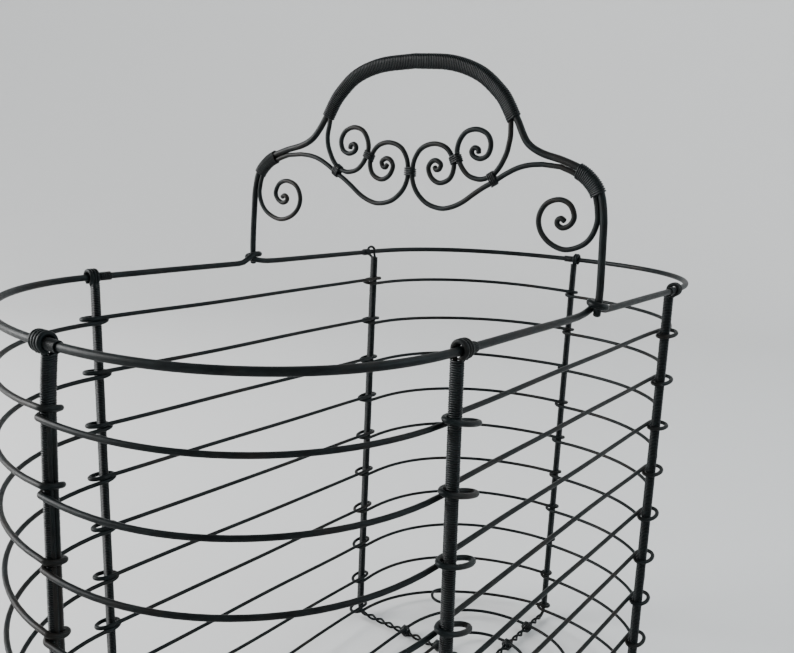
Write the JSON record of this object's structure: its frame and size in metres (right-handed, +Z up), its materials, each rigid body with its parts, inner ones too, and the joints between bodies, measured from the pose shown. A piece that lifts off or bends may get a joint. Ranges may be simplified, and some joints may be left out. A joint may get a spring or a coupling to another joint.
{
  "type": "egg collection basket",
  "caption": "Oval open-mesh wire basket with rungs bound to doubled-wire uprights, a grid floor and an arched handle with scrollwork, for collecting and carrying eggs.",
  "frame": {"origin": "on the ground, under the middle of the basket", "axes": "+Z up; X across the basket, in the plane of the handle; Y along the basket, with the end nearest the viewer towards -Y"},
  "size_m": [0.218, 0.3879, 0.3696],
  "materials": {
    "heavy_wire": "satin black, oiled steel wire",
    "light_wire": "satin black, oiled steel wire",
    "binding_wire": "satin black thin wire, close wound"
  },
  "bodies": {
    "root": {"back_end_binding": "binding_wire", "back_end_rim_collar": "binding_wire", "back_frame_wire": "light_wire", "back_left_binding": "binding_wire", "back_left_rim_collar": "binding_wire", "back_right_binding": "binding_wire", "back_right_rim_collar": "binding_wire", "base_ring": "light_wire", "centre_tie": "binding_wire", "front_end_binding": "binding_wire", "front_end_rim_collar": "binding_wire", "front_frame_wire": "light_wire", "front_left_binding": "binding_wire", "front_left_rim_collar": "binding_wire", "front_right_binding": "binding_wire", "front_right_rim_collar": "binding_wire", "grip_binding": "binding_wire", "handle_frame": "heavy_wire", "inner_base_ring_large": "light_wire", "inner_base_ring_small": "light_wire", "inner_scroll_wire": "light_wire", "large_ring_lashing_back_end": "binding_wire", "large_ring_lashing_back_left": "binding_wire", "large_ring_lashing_back_right": "binding_wire", "large_ring_lashing_front_end": "binding_wire", "large_ring_lashing_front_left": "binding_wire", "large_ring_lashing_front_right": "binding_wire", "left_cross_tie": "binding_wire", "left_inner_tie": "binding_wire", "left_large_scroll": "light_wire", "left_shoulder_binding": "binding_wire", "long_frame_wire": "light_wire", "right_cross_tie": "binding_wire", "right_inner_tie": "binding_wire", "right_large_scroll": "light_wire", "right_shoulder_binding": "binding_wire", "rim_wire": "heavy_wire", "rung_01": "light_wire", "rung_02": "light_wire", "rung_03": "light_wire", "rung_04": "light_wire", "rung_05": "light_wire", "rung_06": "light_wire", "rung_07": "light_wire", "rung_08": "light_wire", "rung_09": "light_wire", "small_ring_lashing_back_end": "binding_wire", "small_ring_lashing_back_left": "binding_wire", "small_ring_lashing_back_right": "binding_wire", "small_ring_lashing_front_end": "binding_wire", "small_ring_lashing_front_left": "binding_wire", "small_ring_lashing_front_right": "binding_wire"}
  },
  "joints": []
}
